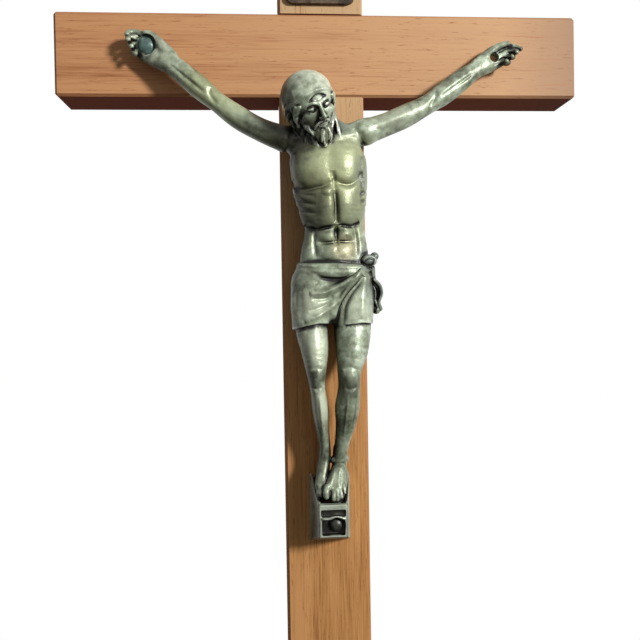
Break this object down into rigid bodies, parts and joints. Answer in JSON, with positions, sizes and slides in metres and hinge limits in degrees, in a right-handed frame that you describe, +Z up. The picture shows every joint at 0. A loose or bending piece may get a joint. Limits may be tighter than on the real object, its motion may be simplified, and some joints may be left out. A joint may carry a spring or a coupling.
{
  "type": "crucifix",
  "caption": "Wall crucifix: plain wooden cross with a cast metal figure nailed on above a small bracket, a blank plaque over its head and a ring hanger let into the back.",
  "frame": {"origin": "on the wall plane at the back of the post, where the centre lines of post and crossbar cross", "axes": "+Z up the post, +X to the viewer's right along the crossbar, +Y into the wall; the front looks along -Y"},
  "size_m": [0.13, 0.0317, 0.2339],
  "materials": {
    "stained_wood": "red-brown stained and varnished softwood laths, satin",
    "cast_figure": "cast metal with an antique grey-green patina, dark in the hollows",
    "dark_nails": "darkened round-headed steel nails",
    "hanger_brass": "dull brass-plated sheet and wire"
  },
  "bodies": {
    "cross": {"post": "stained_wood", "crossbar": "stained_wood", "corpus": "cast_figure", "titulus": "cast_figure", "titulus_nails": "dark_nails", "hand_nail": "dark_nails", "foot_nail": "dark_nails", "hanger_strap": "hanger_brass", "hanger_pins": "hanger_brass"},
    "ring": {"hanger_ring": "hanger_brass"}
  },
  "joints": [
    {"name": "ring_swing", "type": "hinge", "parent": "cross", "child": "ring", "pos_m": [0, -0.002, 0.02225], "axis": [1, 0, 0], "range_deg": [0, 180]}
  ]
}
